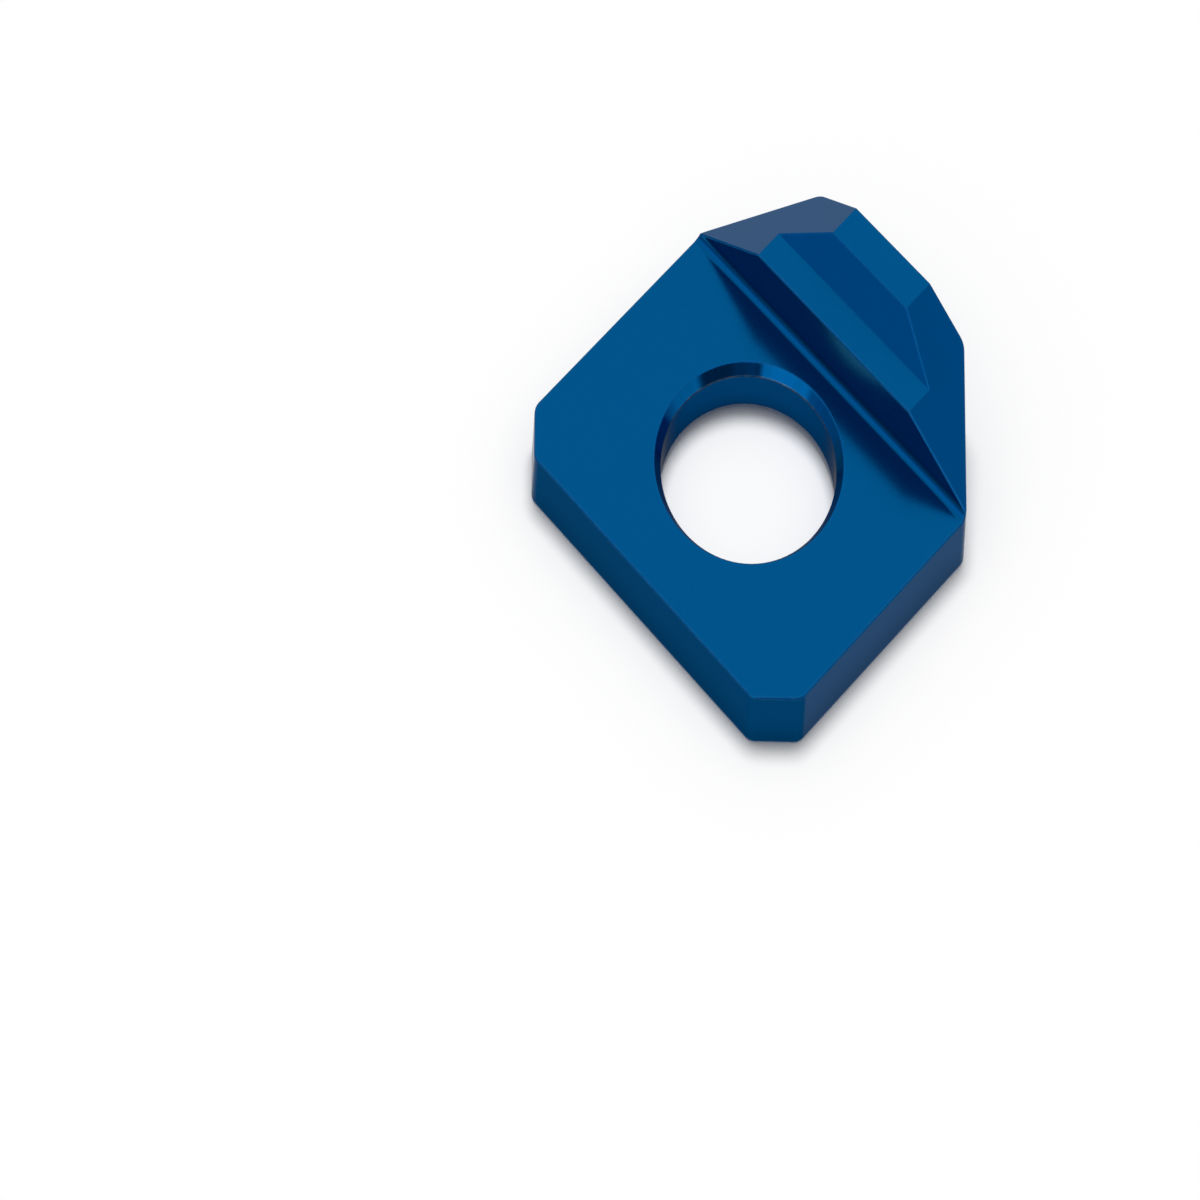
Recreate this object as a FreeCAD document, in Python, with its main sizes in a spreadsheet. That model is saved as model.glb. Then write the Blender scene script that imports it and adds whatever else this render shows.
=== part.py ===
import FreeCAD, Part
import math
import os

import Sketcher

# Motorcycle chain adjuster: an axle block cut from one piece of aluminium, in millimetres.
# The rear axle passes through the bore, and the adjuster bolt bears on the head at the far end.
# Origin: bore axis where it meets the underside. +Y points from the bore to the head, +Z is up.

SIZES = {
    # Axle bore
    "bore_diameter": 25.0,
    "bore_chamfer": 1.0,
    # Plate, seen from above
    "plate_width": 53.2,
    "plate_thickness": 5.7,
    "bore_to_plain_end": 21.7,
    "plain_end_clip": 4.9,
    "far_end_clip": 12.4,
    "corner_radius": 2.0,
    # Head, seen from the side
    "bore_to_head": 16.7,
    "head_length": 12.4,
    "head_height": 14.8,
    "shelf_height": 11.4,
    "shelf_length": 4.3,
    "ramp_length": 3.1,
    "root_radius": 1.0,
    # Facets that slope from the top of the head down to a low foot at the side edges of the plate
    "facet_angle": 24.0,
    "facet_foot": 0.3,
    # Every sharp outer edge is rounded off
    "edge_radius": 0.2,
}

# How far a cut runs past the metal, so that it leaves no skin
OVERRUN = 5.0
# Distance at which an edge is probed to tell an outer corner from an inner one
PROBE = 0.02
# Two faces that meet at less than this many degrees are taken as smooth
SMOOTH_ANGLE = 10.0

document = FreeCAD.newDocument("chain_adjuster")


def make_sheet():
    """Writes the driving dimensions into the spreadsheet, one named cell each."""
    sheet = document.addObject("Spreadsheet::Sheet", "Sizes")
    for row, (name, value) in enumerate(SIZES.items(), start=1):
        sheet.set(f"A{row}", name)
        sheet.set(f"B{row}", str(value))
        sheet.setAlias(f"B{row}", name)
    document.recompute()
    return sheet


def origin_plane(body, role):
    """The body's own origin plane with this role."""
    return next(plane for plane in body.Origin.OriginFeatures if plane.Role == role)


def new_sketch(body, name, role):
    """An empty sketch on one of the body's origin planes."""
    sketch = body.newObject("Sketcher::SketchObject", name)
    sketch.AttachmentSupport = [(origin_plane(body, role), "")]
    sketch.MapMode = "FlatFace"
    return sketch


def draw_loop(sketch, points):
    """Draws straight lines through the points and back to the first, joined at their ends."""
    vectors = [FreeCAD.Vector(x, y, 0) for x, y in points]
    count = len(vectors)
    lines = [
        sketch.addGeometry(Part.LineSegment(vectors[i], vectors[(i + 1) % count]), False)
        for i in range(count)
    ]
    for i, line in enumerate(lines):
        sketch.addConstraint(Sketcher.Constraint("Coincident", line, 2, lines[(i + 1) % count], 1))
    return lines


def set_level(sketch, kind, lines):
    """Makes each line horizontal or vertical."""
    for line in lines:
        sketch.addConstraint(Sketcher.Constraint(kind, line))


def set_size(sketch, name, expression, kind, *where):
    """Adds a named dimension to the sketch and binds it to the spreadsheet."""
    value = float(document.Sizes.evalExpression(expression.replace("Sizes.", "")))
    if kind == "Angle":
        value = math.radians(value)
    number = sketch.addConstraint(Sketcher.Constraint(kind, *where, value))
    sketch.renameConstraint(number, name)
    sketch.setExpression(f"Constraints.{name}", expression)


def edge_names(shape, wanted):
    """Names of the edges for which wanted(edge) is true."""
    return [f"Edge{i}" for i, edge in enumerate(shape.Edges, start=1) if wanted(edge)]


def is_upright(edge):
    """True for a straight edge that runs along Z."""
    if not isinstance(edge.Curve, Part.Line):
        return False
    return abs(edge.tangentAt(edge.FirstParameter).z) > 0.999


def is_bore_rim(edge, radius):
    """True for a full circle of this radius round the bore axis."""
    if not isinstance(edge.Curve, Part.Circle) or abs(edge.Curve.Radius - radius) > 0.001:
        return False
    return math.hypot(edge.Curve.Center.x, edge.Curve.Center.y) < 0.001


def is_sharp_outside(shape, edge):
    """True where two faces meet at an outer corner."""
    faces = shape.ancestorsOfType(edge, Part.Face)
    if len(faces) != 2:
        return False
    middle = edge.valueAt((edge.FirstParameter + edge.LastParameter) / 2)
    normals = [face.normalAt(*face.Surface.parameter(middle)) for face in faces]
    if math.degrees(normals[0].getAngle(normals[1])) < SMOOTH_ANGLE:
        return False
    across = (normals[0] - normals[1]).normalize() * PROBE
    return not shape.isInside(middle + across, PROBE / 10, True)


def make_blank(body):
    """The outline of the block, cut from bar to the full height of the head."""
    half = SIZES["plate_width"] / 2
    clip = SIZES["plain_end_clip"]
    front = -SIZES["bore_to_plain_end"]
    far_clip = SIZES["far_end_clip"]
    far = SIZES["bore_to_head"] + SIZES["head_length"]
    sketch = new_sketch(body, "OutlineSketch", "XY_Plane")
    plain_end, right_clip, right_side, far_right, far_end, far_left, left_side, left_clip = draw_loop(
        sketch,
        [
            (-half + clip, front),
            (half - clip, front),
            (half, front + clip),
            (half, far - far_clip),
            (half - far_clip, far),
            (-half + far_clip, far),
            (-half, far - far_clip),
            (-half, front + clip),
        ],
    )
    set_level(sketch, "Vertical", [right_side])
    for line in (plain_end, far_end):
        sketch.addConstraint(Sketcher.Constraint("Symmetric", line, 1, line, 2, -2))
    sketch.addConstraint(Sketcher.Constraint("Symmetric", right_side, 1, left_side, 2, -2))
    sketch.addConstraint(Sketcher.Constraint("Symmetric", right_side, 2, left_side, 1, -2))
    set_size(sketch, "Width", "Sizes.plate_width", "DistanceX", left_side, 2, right_side, 1)
    set_size(sketch, "PlainEnd", "Sizes.bore_to_plain_end", "DistanceY", plain_end, 1, -1, 1)
    set_size(sketch, "ClipAcross", "Sizes.plain_end_clip", "DistanceX", right_clip, 1, right_clip, 2)
    set_size(sketch, "ClipAlong", "Sizes.plain_end_clip", "DistanceY", right_clip, 1, right_clip, 2)
    set_size(sketch, "FarEnd", "Sizes.bore_to_head + Sizes.head_length", "DistanceY", -1, 1, far_end, 1)
    set_size(sketch, "FarAlong", "Sizes.far_end_clip", "DistanceY", far_right, 1, far_right, 2)
    set_size(sketch, "FarAcross", "Sizes.far_end_clip", "DistanceX", far_right, 2, far_right, 1)

    pad = body.newObject("PartDesign::Pad", "Blank")
    pad.Profile = sketch
    pad.setExpression("Length", "Sizes.head_height")
    document.recompute()

    corners = body.newObject("PartDesign::Fillet", "CornerRounds")
    corners.Base = (pad, edge_names(pad.Shape, is_upright))
    corners.setExpression("Radius", "Sizes.corner_radius")
    document.recompute()


def cut_head_profile(body):
    """Mills the plate down and leaves the head: front wall, shelf, ramp and top land."""
    start = -SIZES["bore_to_plain_end"] - OVERRUN
    plate = SIZES["plate_thickness"]
    root = SIZES["root_radius"]
    wall = SIZES["bore_to_head"]
    shelf = SIZES["shelf_height"]
    ramp_foot = wall + SIZES["shelf_length"]
    ramp_top = ramp_foot + SIZES["ramp_length"]
    top = SIZES["head_height"]
    above = top + OVERRUN
    sketch = new_sketch(body, "ProfileSketch", "YZ_Plane")

    def add(geometry):
        return sketch.addGeometry(geometry, False)

    def line(start_point, end_point):
        return add(Part.LineSegment(FreeCAD.Vector(*start_point, 0), FreeCAD.Vector(*end_point, 0)))

    floor = line((start, plate), (wall - root, plate))
    centre = FreeCAD.Vector(wall - root, plate + root, 0)
    circle = Part.Circle(centre, FreeCAD.Vector(0, 0, 1), root)
    fillet = add(Part.ArcOfCircle(circle, -math.pi / 2, 0))
    front_wall = line((wall, plate + root), (wall, shelf))
    shelf_line = line((wall, shelf), (ramp_foot, shelf))
    ramp = line((ramp_foot, shelf), (ramp_top, top))
    exit_line = line((ramp_top, top), (ramp_top, above))
    lid = line((ramp_top, above), (start, above))
    entry = line((start, above), (start, plate))

    loop = [floor, fillet, front_wall, shelf_line, ramp, exit_line, lid, entry]
    for before, after in zip(loop, loop[1:] + loop[:1]):
        kind = "Tangent" if fillet in (before, after) else "Coincident"
        sketch.addConstraint(Sketcher.Constraint(kind, before, 2, after, 1))
    set_level(sketch, "Horizontal", [floor, shelf_line, lid])
    set_level(sketch, "Vertical", [front_wall, exit_line, entry])
    set_size(sketch, "RootRadius", "Sizes.root_radius", "Radius", fillet)
    set_size(sketch, "PlateThickness", "Sizes.plate_thickness", "DistanceY", -1, 1, floor, 1)
    set_size(sketch, "Wall", "Sizes.bore_to_head", "DistanceX", -1, 1, front_wall, 2)
    set_size(sketch, "ShelfHeight", "Sizes.shelf_height", "DistanceY", -1, 1, front_wall, 2)
    set_size(sketch, "ShelfLength", "Sizes.shelf_length", "DistanceX", shelf_line, 1, shelf_line, 2)
    set_size(sketch, "RampLength", "Sizes.ramp_length", "DistanceX", ramp, 1, ramp, 2)
    set_size(sketch, "HeadHeight", "Sizes.head_height", "DistanceY", -1, 1, ramp, 2)
    set_size(sketch, "Above", f"{OVERRUN}", "DistanceY", exit_line, 1, exit_line, 2)
    set_size(sketch, "Before", f"Sizes.bore_to_plain_end + {OVERRUN}", "DistanceX", floor, 1, -1, 1)

    pocket = body.newObject("PartDesign::Pocket", "HeadProfile")
    pocket.Profile = sketch
    pocket.Type = "ThroughAll"
    pocket.Midplane = True
    document.recompute()


def cut_end_facets(body):
    """Slopes both ends of the head down to a low foot above the side edges of the plate."""
    half = SIZES["plate_width"] / 2
    foot = SIZES["plate_thickness"] + SIZES["edge_radius"] + SIZES["facet_foot"]
    above = SIZES["head_height"] + OVERRUN
    inner = half - (above - foot) / math.tan(math.radians(SIZES["facet_angle"]))
    sketch = new_sketch(body, "FacetSketch", "XZ_Plane")
    slope, lid, outside, under = draw_loop(
        sketch,
        [(half, foot), (inner, above), (half + OVERRUN, above), (half + OVERRUN, foot)],
    )
    set_level(sketch, "Horizontal", [lid, under])
    set_level(sketch, "Vertical", [outside])
    set_size(sketch, "HalfWidth", "Sizes.plate_width / 2", "DistanceX", -1, 1, slope, 1)
    foot_height = "Sizes.plate_thickness + Sizes.edge_radius + Sizes.facet_foot"
    set_size(sketch, "Foot", foot_height, "DistanceY", -1, 1, slope, 1)
    set_size(sketch, "Above", f"Sizes.head_height + {OVERRUN}", "DistanceY", -1, 1, lid, 1)
    set_size(sketch, "Outside", f"{OVERRUN}", "DistanceX", under, 2, under, 1)
    set_size(sketch, "Slope", "Sizes.facet_angle", "Angle", slope, 1, under, 1)

    pocket = body.newObject("PartDesign::Pocket", "RightFacet")
    pocket.Profile = sketch
    pocket.Type = "ThroughAll"
    pocket.Midplane = True
    document.recompute()

    mirrored = body.newObject("PartDesign::Mirrored", "BothFacets")
    mirrored.Originals = [pocket]
    mirrored.MirrorPlane = (origin_plane(body, "YZ_Plane"), [""])
    body.Tip = mirrored
    document.recompute()


def cut_bore(body):
    """Bores the axle hole through the plate and chamfers both of its rims."""
    sketch = new_sketch(body, "BoreSketch", "XY_Plane")
    radius = SIZES["bore_diameter"] / 2
    circle = Part.Circle(FreeCAD.Vector(0, 0, 0), FreeCAD.Vector(0, 0, 1), radius)
    rim = sketch.addGeometry(circle, False)
    sketch.addConstraint(Sketcher.Constraint("Coincident", rim, 3, -1, 1))
    set_size(sketch, "Diameter", "Sizes.bore_diameter", "Diameter", rim)

    pocket = body.newObject("PartDesign::Pocket", "AxleBore")
    pocket.Profile = sketch
    pocket.Type = "ThroughAll"
    pocket.Midplane = True
    document.recompute()

    chamfer = body.newObject("PartDesign::Chamfer", "BoreChamfers")
    chamfer.Base = (pocket, edge_names(pocket.Shape, lambda edge: is_bore_rim(edge, radius)))
    chamfer.setExpression("Size", "Sizes.bore_chamfer")
    document.recompute()


def round_edges(body):
    """Takes the sharpness off every outer edge, as tumbling does before anodising."""
    finished = body.Tip
    sharp = edge_names(finished.Shape, lambda edge: is_sharp_outside(finished.Shape, edge))
    rounds = body.newObject("PartDesign::Fillet", "EdgeRounds")
    rounds.Base = (finished, sharp)
    rounds.setExpression("Radius", "Sizes.edge_radius")
    document.recompute()


def check_and_export(body):
    """Stops on any failed object or bad shape, and then writes the solid."""
    for thing in document.Objects:
        if "Invalid" in thing.State or "Error" in thing.State:
            raise RuntimeError(f"{thing.Name} failed: {thing.State}")
    volume = None
    for feature in body.Group:
        if feature.isDerivedFrom("PartDesign::Feature"):
            if volume is not None and not feature.Shape.Volume < volume:
                raise RuntimeError(f"{feature.Name} takes nothing off the block")
            volume = feature.Shape.Volume
    shape = body.Shape
    if shape.isNull() or not shape.isValid() or len(shape.Solids) != 1:
        raise RuntimeError(f"{body.Label} is not one valid solid")
    os.makedirs("parts", exist_ok=True)
    shape.exportStep(f"parts/{body.Label}.step")
    box = shape.optimalBoundingBox()
    print(f"{body.Label}: {box.XLength:.2f} x {box.YLength:.2f} x {box.ZLength:.2f} mm")
    print(f"volume {shape.Volume:.1f} mm3, {len(shape.Faces)} faces")


make_sheet()
axle_block = document.addObject("PartDesign::Body", "AxleBlock")
axle_block.Label = "axle_block"
make_blank(axle_block)
cut_head_profile(axle_block)
cut_end_facets(axle_block)
cut_bore(axle_block)
round_edges(axle_block)
check_and_export(axle_block)
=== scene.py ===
import math
from types import SimpleNamespace

import bpy
from mathutils import Matrix, Vector

# The picture's frame, in pixels, and the camera's sensor width, in millimetres
PICTURE = 1200
SENSOR = 36.0

# Where the picture is taken from. Azimuth 0 looks along +Y, elevation is above the horizon.
VIEW_AZIMUTH = math.radians(41.26)
VIEW_ELEVATION = math.radians(45.20)
VIEW_DISTANCE = 1.778
# Point of the floor in the middle of the picture
VIEW_AIM = Vector((-0.00552, -0.02387, 0.0))
FOCAL_PIXELS = 12284
NEAREST_SEEN = 0.05
FURTHEST_SEEN = 50.0
# The picture plane isn't square to the line of sight, as in a view camera. Its two axes are given
# by how far they point right, up and ahead.
PICTURE_RIGHT = Vector((1.0, 0.061, 0.227)).normalized()
PICTURE_UP = Vector((-0.099, 1.0, -1.210)).normalized()

FLOOR_SIZE = 6.0
# Two wide lamps light the floor alone: a softbox overhead and a little behind, and a fill all round.
# Each has an azimuth, an elevation and a width in degrees, and its share of the floor's light.
OVERHEAD = (137, 75, 30, 0.6)
FILL = (120, 88, 150, 0.4)

# Directions, the factors that leave a vector's level part alone, and millimetres in a metre
UPWARD = (0, 0, 1)
TOWARDS_PLATE = (0, -1, 0)
LEVEL_PART = (1, 1, 0)
MILLIMETRES = 1000

# Sizes on the block, in millimetres. The rim is where the bore meets its chamfer.
PLATE_TOP = 5.7
BORE_RADIUS = 12.5
CHAMFER = 1.0
RIM_HEIGHT = PLATE_TOP - CHAMFER
RIM_WIDTH = 0.14
# The turned zone ends a little outside the chamfer
TURNED_RADIUS = BORE_RADIUS + CHAMFER + 0.05
# Half the width of the border between two zones
HEIGHT_BORDER = 0.1
RADIUS_BORDER = 0.05
# Reach of the edge wear, partly a painted edge highlight, and depth of the blasted grain, in metres
EDGE_REACH = 0.00035
GRAIN_DEPTH = 0.0000012

# Colours of the metal. The satin blue is the dye, with its clouds. Some zones get lighter or darker copies
# of it as
# painted light and shade: slanted faces bluer as a painted reflection, the head's wall above the plate and
# the bore lighter as painted light, the outer sides darker as painted shade. Then the turned chamfer and
# its streaks, and the worn edges, lighter partly from wear and partly as a painted edge highlight
SATIN_BLUE = (0.0, 0.069, 0.201, 1)
# Slanted faces get a bluer copy of the satin blue: a painted reflection of bluer light
SLANTED_REFLECTION_BLUE = (0.0, 0.068, 0.245, 1)
DEEP_BLUE = (0.0, 0.056, 0.175, 1)
# The head's wall: a lighter copy of the dye, painted light for light the wall lacks
LIT_WALL_BLUE = (0.0, 0.137, 0.305, 1)
# Outer sides: a darker copy of the dye, painted shade for the shaded floor they mirror
SHADED_SIDE_BLUE = (0.0, 0.048, 0.140, 1)
# The bore wall: a lighter copy of the dye, painted light
LIT_BORE_BLUE = (0.0, 0.086, 0.275, 1)
CHAMFER_BLUE = (0.0, 0.064, 0.215, 1)
STREAK_BLUE = (0.0, 0.074, 0.250, 1)
# Worn edges: a lighter blue, partly wear and partly a painted edge highlight
WORN_AND_HIGHLIT_BLUE = (0.05, 0.20, 0.40, 1)
RIM_GOLD = (0.22, 0.22, 0.16, 1)
WHITE = (1, 1, 1, 1)

# Noise scales, per millimetre. The streaks' scale is round the bore axis.
CLOUD_SCALE = 0.07
GRAIN_SCALE = 2.5
WEAR_AND_HIGHLIGHT_SCALE = 1.3
RIM_SCALE = 1.1
STREAK_SCALE = 7.0
# The most that each layer covers of the colour below it
CLOUD_COVER = 0.12
GRAIN_COVER = 0.06
WEAR_AND_HIGHLIGHT_COVER = 0.25
RIM_COVER = 0.35
BORE_STREAK_COVER = 0.12

FACE_ROUGHNESS = 0.22
ROUGHNESS_SPREAD = 0.02
CHAMFER_ROUGHNESS = 0.08
STREAK_ROUGHNESS = 0.14
EDGE_ROUGHNESS = 0.45

# Share of white gloss that the dye lets through, up to where light grazes the face
DYE_TINT = (0.5, 0.5, 0.5, 1)
SIDE_WHITENING = 0.45
# How far a face is turned from the eye, from 0 to 1, when its gloss starts to whiten and when it is
# whitest, and in the last pair when the chamfer starts to look rough and when it is roughest
FACE_GRAZED = (0.3, 0.5)
SIDE_GRAZED = (0.44, 0.56)
CHAMFER_GRAZED = (0.45, 0.56)

# What the metal mirrors of the floor: white outside, dimmer in the bore as painted shade, and its share
OUTER_FLOOR = WHITE
SHADED_BORE_FLOOR = (0.2, 0.2, 0.2, 1)
MIRRORED_SHARE = 0.55

# Half the width of a dome panel's edge, sharp or soft
SHARP_EDGE = 0.06
SOFT_EDGE = 0.2
# Colours of the studio dome that the metal mirrors: near the horizon, halfway up and overhead
HORIZON = (0.40, 0.41, 0.35, 1)
DOME = (0.58, 0.63, 0.73, 1)
ZENITH = (1.2, 1.2, 1.2, 1)
# Heights on a dome of radius 1 between which the horizon fades and the overhead light grows
HORIZON_FADES = (0.0, 0.55)
ZENITH_GROWS = (0.78, 0.92)


def new_material(name):
    material = bpy.data.materials.new(name)
    material.use_nodes = True
    return material


def principled(material):
    return material.node_tree.nodes["Principled BSDF"]


def add_to_scene(thing):
    bpy.context.scene.collection.objects.link(thing)


def add_node(tree, kind, inputs, **settings):
    """A new shader node. Each input is given by its name or number, as a value or as a socket."""
    node = tree.nodes.new("ShaderNode" + kind)
    for name, value in settings.items():
        setattr(node, name, value)
    for key, value in inputs.items():
        if isinstance(value, bpy.types.NodeSocket):
            tree.links.new(value, node.inputs[key])
        else:
            node.inputs[key].default_value = value
    return node


def calculate(tree, operation, first, second=0.0):
    return add_node(tree, "Math", {0: first, 1: second}, operation=operation).outputs[0]


def multiply(tree, first, second):
    return calculate(tree, "MULTIPLY", first, second)


def ramp(tree, value, start, end, low=0.0, high=1.0):
    """A smooth step from low at start to high at end."""
    inputs = {"Value": value, "From Min": start, "From Max": end, "To Min": low, "To Max": high}
    return add_node(tree, "MapRange", inputs, interpolation_type="SMOOTHSTEP").outputs["Result"]


def blend_values(tree, share, first, second):
    return add_node(tree, "Mix", {"Factor": share, "A": first, "B": second}).outputs["Result"]


def blend_colours(tree, share, first, second):
    """The Mix node's sockets for colours are its inputs 6 and 7 and its output 2."""
    return add_node(tree, "Mix", {0: share, 6: first, 7: second}, data_type="RGBA").outputs[2]


def noise(tree, place, scale, detail=2.0):
    inputs = {"Vector": place, "Scale": scale, "Detail": detail}
    return add_node(tree, "TexNoise", inputs).outputs["Fac"]


def along(tree, vector, axis):
    return add_node(tree, "VectorMath", {0: vector, 1: axis}, operation="DOT_PRODUCT").outputs["Value"]


def stretch(tree, vector, scale):
    return add_node(tree, "VectorMath", {0: vector, 1: scale}, operation="MULTIPLY").outputs[0]


def length(tree, vector):
    return add_node(tree, "VectorMath", {0: vector}, operation="LENGTH").outputs["Value"]


def direction(azimuth, elevation):
    """The unit vector towards a point of the sky, in degrees. Azimuth 0 is +X."""
    level = math.cos(math.radians(elevation))
    across = level * math.cos(math.radians(azimuth))
    deep = level * math.sin(math.radians(azimuth))
    return Vector((across, deep, math.sin(math.radians(elevation))))


def make_camera():
    """The camera, with a sheared parent that sets its picture plane askew."""
    right = Vector((math.cos(VIEW_AZIMUTH), math.sin(VIEW_AZIMUTH), 0.0))
    away = Vector((-math.sin(VIEW_AZIMUTH), math.cos(VIEW_AZIMUTH), 0.0))
    forward = away * math.cos(VIEW_ELEVATION) - Vector((0, 0, math.sin(VIEW_ELEVATION)))
    up = right.cross(forward)
    place = VIEW_AIM - forward * VIEW_DISTANCE

    data = bpy.data.cameras.new("camera")
    data.sensor_width = SENSOR
    data.lens = FOCAL_PIXELS * SENSOR / PICTURE
    data.clip_start = NEAREST_SEEN
    data.clip_end = FURTHEST_SEEN
    camera = bpy.data.objects.new("camera", data)
    add_to_scene(camera)
    axes = Matrix((right, up, -forward)).transposed()
    camera.matrix_world = Matrix.Translation(place) @ axes.to_4x4()

    sight = Matrix((right, up, forward)).transposed()
    leaned = Matrix((sight @ PICTURE_RIGHT, sight @ PICTURE_UP, -forward)).transposed()
    lean = leaned @ axes.inverted()
    stand = bpy.data.objects.new("camera_stand", None)
    add_to_scene(stand)
    camera.parent = stand
    camera.matrix_parent_inverse = (
        Matrix.Translation(place) @ lean.to_4x4() @ Matrix.Translation(-place)
    )
    bpy.context.scene.camera = camera


def find_zones(tree):
    """The place on the block, in millimetres, and its zones, each 1 on its own faces and 0 elsewhere."""
    coordinates = add_node(tree, "TexCoord", {}).outputs
    normal = coordinates["Normal"]
    place = stretch(tree, coordinates["Object"], (MILLIMETRES, MILLIMETRES, MILLIMETRES))
    height = along(tree, place, UPWARD)
    radius = length(tree, stretch(tree, place, LEVEL_PART))
    level = calculate(tree, "ABSOLUTE", along(tree, normal, UPWARD))
    upright = ramp(tree, level, 0.2, 0.5, 1.0, 0.0)
    above_plate = ramp(tree, height, PLATE_TOP - HEIGHT_BORDER, PLATE_TOP + HEIGHT_BORDER)
    wall = multiply(tree, above_plate, ramp(tree, along(tree, normal, TOWARDS_PLATE), 0.5, 0.8))
    outer = calculate(tree, "SUBTRACT", 1.0, wall)
    turned = ramp(tree, radius, TURNED_RADIUS - RADIUS_BORDER, TURNED_RADIUS + RADIUS_BORDER, 1.0, 0.0)
    return SimpleNamespace(
        place=place,
        height=height,
        radius=radius,
        level=level,
        upright=upright,
        side=multiply(tree, upright, outer),
        turned=turned,
        chamfer=blend_values(tree, upright, turned, 0.0),
    )


def worn_and_highlit_edges(tree, place):
    """1 along the outer edges and 0 on the faces, uneven from spot to spot. The edges are worn, and their
    lighter colour is partly a painted highlight.
    """
    inward = add_node(tree, "AmbientOcclusion", {"Distance": EDGE_REACH}, inside=True, samples=4)
    edges = ramp(tree, inward.outputs["AO"], 0.95, 0.6, 0.0, 1.0)
    return multiply(tree, edges, ramp(tree, noise(tree, place, WEAR_AND_HIGHLIGHT_SCALE), 0.3, 0.7, 0.4, 1.0))


def turning_streaks(tree, place):
    """Streaks across the turned surfaces, the same along each line out from the bore axis."""
    outward = add_node(tree, "VectorMath", {0: stretch(tree, place, LEVEL_PART)}, operation="NORMALIZE")
    return ramp(tree, noise(tree, outward.outputs[0], STREAK_SCALE, detail=4.0), 0.35, 0.65)


def bare_rim(tree, zones):
    """A thin uneven line along the rim between the bore and its chamfer."""
    sideways = calculate(tree, "SUBTRACT", zones.radius, BORE_RADIUS)
    upward = calculate(tree, "SUBTRACT", zones.height, RIM_HEIGHT)
    offset = add_node(tree, "CombineXYZ", {"X": sideways, "Y": upward}).outputs["Vector"]
    near = ramp(tree, length(tree, offset), RIM_WIDTH / 2, RIM_WIDTH, 1.0, 0.0)
    return multiply(tree, near, ramp(tree, noise(tree, zones.place, RIM_SCALE), 0.35, 0.7, 0.1, RIM_COVER))


def block_colour(tree, zones, streaks, grain, wear_and_highlight):
    """The colour of each zone, with painted light and shade in some, under its streaks, clouds, grain,
    edge wear with a painted edge highlight, and rim.
    """
    streaked = blend_values(tree, zones.chamfer, multiply(tree, zones.turned, BORE_STREAK_COVER), 1.0)
    clouds = ramp(tree, noise(tree, zones.place, CLOUD_SCALE), 0.3, 0.7, 0.0, CLOUD_COVER)
    layers = (
        # The head's wall in a lighter blue: painted light
        (zones.upright, LIT_WALL_BLUE),
        # Outer sides in a darker blue: painted shade
        (zones.side, SHADED_SIDE_BLUE),
        # The bore wall in a lighter blue: painted light
        (zones.turned, LIT_BORE_BLUE),
        (zones.chamfer, CHAMFER_BLUE),
        (multiply(tree, streaked, streaks), STREAK_BLUE),
        (clouds, DEEP_BLUE),
        (ramp(tree, grain, 0.35, 0.65, 0.0, GRAIN_COVER), DEEP_BLUE),
        # Lighter edges: partly wear, partly a painted highlight
        (multiply(tree, wear_and_highlight, WEAR_AND_HIGHLIGHT_COVER), WORN_AND_HIGHLIT_BLUE),
        (bare_rim(tree, zones), RIM_GOLD),
    )
    # Slanted faces take the bluer copy, a painted reflection of the bluer light they face
    colour = blend_colours(tree, ramp(tree, zones.level, 0.85, 0.98), SLANTED_REFLECTION_BLUE, SATIN_BLUE)
    for share, layer_colour in layers:
        colour = blend_colours(tree, share, colour, layer_colour)
    return colour


def block_roughness(tree, zones, facing, streaks, grain, wear_and_highlight):
    """Satin faces, a smoother chamfer with duller streaks, and rough edges."""
    smoothest = FACE_ROUGHNESS - ROUGHNESS_SPREAD
    roughest = FACE_ROUGHNESS + ROUGHNESS_SPREAD
    roughness = ramp(tree, grain, 0.3, 0.7, smoothest, roughest)
    turned_roughness = ramp(tree, streaks, 0.0, 1.0, CHAMFER_ROUGHNESS, STREAK_ROUGHNESS)
    roughness = blend_values(tree, zones.chamfer, roughness, turned_roughness)
    grazed = multiply(tree, zones.chamfer, ramp(tree, facing, *CHAMFER_GRAZED))
    roughness = blend_values(tree, grazed, roughness, EDGE_ROUGHNESS)
    return blend_values(tree, wear_and_highlight, roughness, EDGE_ROUGHNESS)


def gloss_tint(tree, zones, facing):
    """The gloss whitens where light grazes a face, less on the sides, and not on turned metal."""
    whitened = ramp(tree, facing, *FACE_GRAZED)
    whitened_side = ramp(tree, facing, *SIDE_GRAZED, 0.0, SIDE_WHITENING)
    whitened = blend_values(tree, zones.side, whitened, whitened_side)
    whitened = blend_values(tree, zones.turned, whitened, 0.0)
    return blend_colours(tree, whitened, DYE_TINT, WHITE)


def finish_block(block):
    """Blue dyed aluminium: satin faces, outer sides painted darker as shade, a turned bore painted lighter
    as light, and worn edges that are lighter partly as a painted highlight.
    """
    material = new_material("blue_anodised")
    tree = material.node_tree
    zones = find_zones(tree)
    facing = add_node(tree, "LayerWeight", {"Blend": 0.5}).outputs["Facing"]
    streaks = turning_streaks(tree, zones.place)
    grain = noise(tree, zones.place, GRAIN_SCALE, detail=3.0)
    wear_and_highlight = worn_and_highlit_edges(tree, zones.place)
    bump = add_node(tree, "Bump", {"Strength": 1.0, "Distance": GRAIN_DEPTH, "Height": grain})

    shader = principled(material)
    shader.inputs["Metallic"].default_value = 1.0
    sockets = {
        "Base Color": block_colour(tree, zones, streaks, grain, wear_and_highlight),
        "Roughness": block_roughness(tree, zones, facing, streaks, grain, wear_and_highlight),
        "Specular Tint": gloss_tint(tree, zones, facing),
        "Normal": bump.outputs["Normal"],
    }
    for name, value in sockets.items():
        tree.links.new(value, shader.inputs[name])
    for slot in block.material_slots:
        slot.material = material


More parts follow.
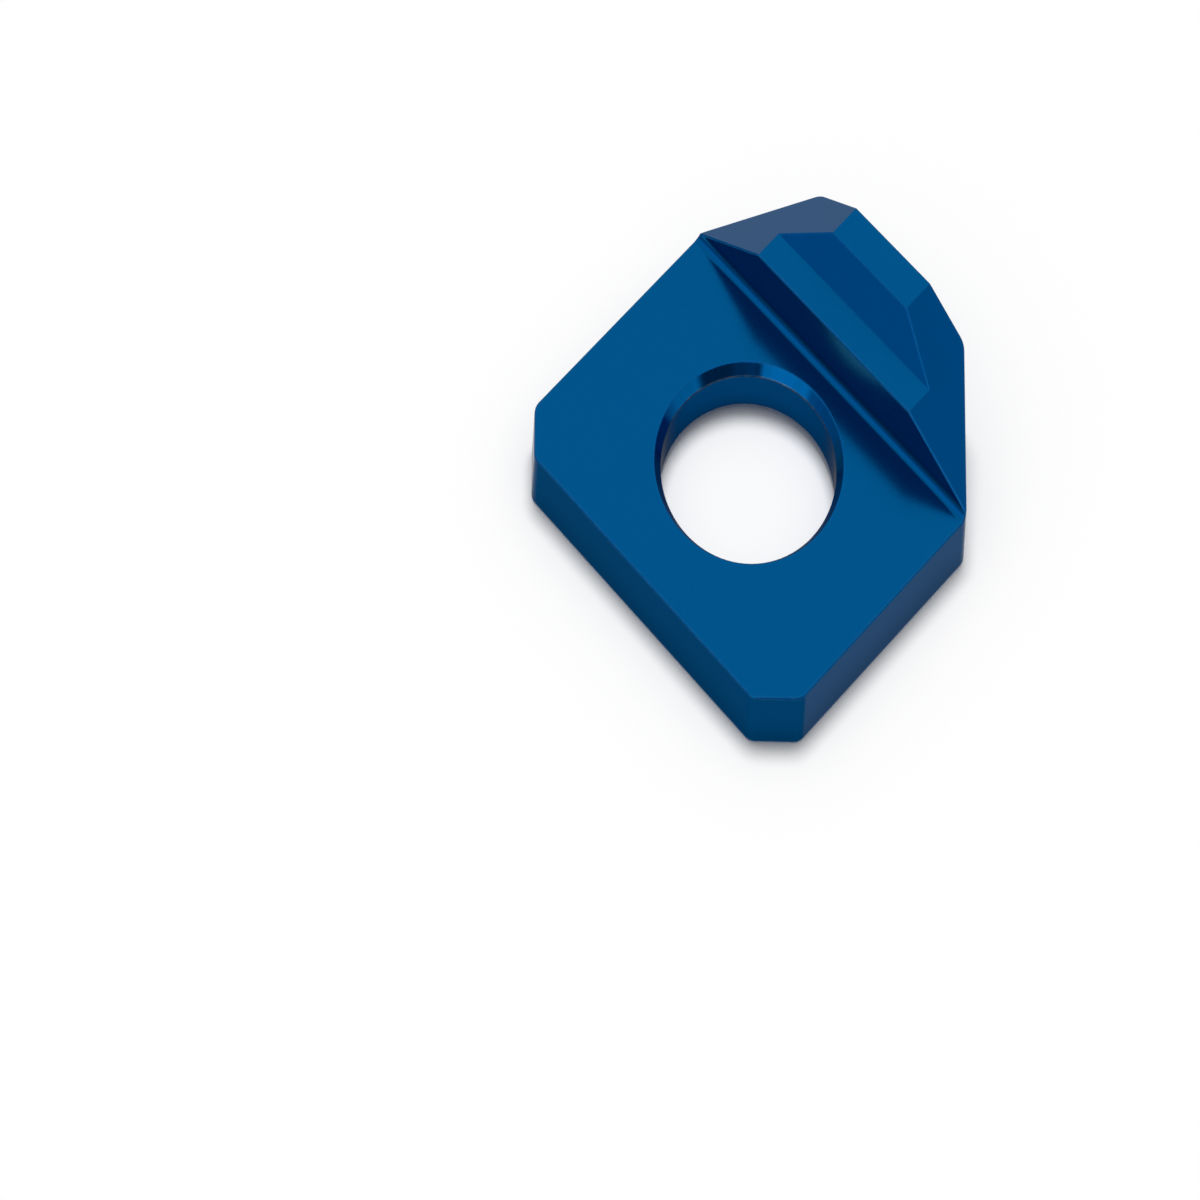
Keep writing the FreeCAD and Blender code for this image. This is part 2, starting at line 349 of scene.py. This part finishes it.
def mirrored_floor(tree):
    """Plain light in place of the floor, as the metal mirrors it, dimmed in the bore as painted shade."""
    place = add_node(tree, "TexCoord", {}).outputs["Object"]
    radius = length(tree, stretch(tree, place, (MILLIMETRES, MILLIMETRES, 0)))
    outside = ramp(tree, radius, BORE_RADIUS, BORE_RADIUS + CHAMFER)
    # The floor inside the bore is mirrored dimmer: painted shade
    colour = blend_colours(tree, outside, SHADED_BORE_FLOOR, OUTER_FLOOR)
    return add_node(tree, "Emission", {"Color": colour, "Strength": 1.0}).outputs["Emission"]


def floor_material():
    """White paper that takes shadows. The metal mirrors it partly as plain light."""
    material = new_material("white_floor")
    shader = principled(material)
    shader.inputs["Base Color"].default_value = WHITE
    shader.inputs["Roughness"].default_value = 1.0
    shader.inputs["Specular IOR Level"].default_value = 0.0
    tree = material.node_tree
    rays = add_node(tree, "LightPath", {}).outputs
    share = multiply(tree, rays["Is Glossy Ray"], MIRRORED_SHARE)
    surfaces = {0: share, 1: shader.outputs["BSDF"], 2: mirrored_floor(tree)}
    surface = add_node(tree, "MixShader", surfaces).outputs["Shader"]
    tree.links.new(surface, tree.nodes["Material Output"].inputs["Surface"])
    return material


def make_floor():
    half = FLOOR_SIZE / 2
    corners = [(-half, -half, 0), (half, -half, 0), (half, half, 0), (-half, half, 0)]
    mesh = bpy.data.meshes.new("floor")
    mesh.from_pydata(corners, [], [(0, 1, 2, 3)])
    mesh.materials.append(floor_material())
    floor = bpy.data.objects.new("floor", mesh)
    add_to_scene(floor)


def make_floor_lamp(name, azimuth, elevation, width, share):
    """A wide soft lamp that draws the block's shadow on the floor and isn't mirrored in the metal."""
    data = bpy.data.lights.new(name, "SUN")
    data.angle = math.radians(width)
    towards = direction(azimuth, elevation)
    data.energy = math.pi * share / towards.z
    lamp = bpy.data.objects.new(name, data)
    lamp.rotation_euler = towards.to_track_quat("Z", "Y").to_euler()
    lamp.visible_glossy = False
    add_to_scene(lamp)


def hang_panel(tree, sky, behind, azimuth, elevation, width, height, colour, edge=SHARP_EDGE):
    """Sets a flat panel into the dome. Its sizes are as seen from one metre."""
    centre = direction(azimuth, elevation)
    across = direction(azimuth + 90, 0)
    upward = centre.cross(across)
    ahead = along(tree, sky, centre)
    share = calculate(tree, "GREATER_THAN", ahead, 0.0)
    for axis, size in ((across, width), (upward, height)):
        offset = calculate(tree, "ABSOLUTE", calculate(tree, "DIVIDE", along(tree, sky, axis), ahead))
        inside = ramp(tree, offset, size / 2 - edge, size / 2 + edge, 1.0, 0.0)
        share = multiply(tree, share, inside)
    return blend_colours(tree, share, behind, (*colour, 1))


def hang_panels(tree, sky, dome):
    """The studio's lights and screens, over the plain dome."""
    # Behind the block, as the camera sees it
    dome = hang_panel(tree, sky, dome, 134, 42, 1.10, 0.60, (1.32, 1.32, 1.32))
    # In front on the left, a softbox, its dimmer side and the light under it
    dome = hang_panel(tree, sky, dome, 235, 51, 1.20, 0.60, (1.08, 1.08, 1.00))
    dome = hang_panel(tree, sky, dome, 276, 47, 1.03, 0.61, (1.65, 1.65, 1.55))
    dome = hang_panel(tree, sky, dome, 284, 8, 0.60, 0.50, (1.40, 1.40, 1.15))
    # On the right, a light that fades, and two dark screens in front of it
    dome = hang_panel(tree, sky, dome, 31, 38, 0.88, 0.62, (1.27, 1.27, 1.12), SOFT_EDGE)
    dome = hang_panel(tree, sky, dome, 343, 42, 1.09, 0.60, (0.28, 0.28, 0.32))
    dome = hang_panel(tree, sky, dome, 356, 40, 0.50, 0.50, (0.17, 0.17, 0.19))
    # A low light behind on the left
    return hang_panel(tree, sky, dome, 148, 8, 0.60, 0.40, (0.76, 0.79, 0.72))


def make_dome():
    """The studio round the block, as the metal mirrors it. The camera itself sees plain white."""
    world = bpy.data.worlds.new("studio")
    bpy.context.scene.world = world
    world.use_nodes = True
    tree = world.node_tree
    sky = add_node(tree, "TexCoord", {}).outputs["Generated"]
    height = along(tree, sky, UPWARD)
    dome = blend_colours(tree, ramp(tree, height, *HORIZON_FADES), HORIZON, DOME)
    dome = blend_colours(tree, ramp(tree, height, *ZENITH_GROWS), dome, ZENITH)
    dome = hang_panels(tree, sky, dome)
    rays = add_node(tree, "LightPath", {}).outputs
    dome = blend_colours(tree, rays["Is Camera Ray"], dome, WHITE)
    tree.links.new(dome, tree.nodes["Background"].inputs["Color"])
    world.cycles_visibility.diffuse = False
    world.cycles.sampling_method = "NONE"


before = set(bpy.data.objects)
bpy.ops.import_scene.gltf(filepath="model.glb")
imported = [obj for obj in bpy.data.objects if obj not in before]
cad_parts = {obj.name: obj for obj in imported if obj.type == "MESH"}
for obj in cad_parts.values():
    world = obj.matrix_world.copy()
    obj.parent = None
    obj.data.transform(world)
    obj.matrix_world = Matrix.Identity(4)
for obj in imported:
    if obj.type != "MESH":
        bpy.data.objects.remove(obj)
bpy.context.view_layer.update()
make_camera()
finish_block(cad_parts["axle_block"])
make_floor()
make_floor_lamp("overhead_softbox", *OVERHEAD)
make_floor_lamp("fill", *FILL)
make_dome()
bpy.context.scene.view_settings.view_transform = "Standard"
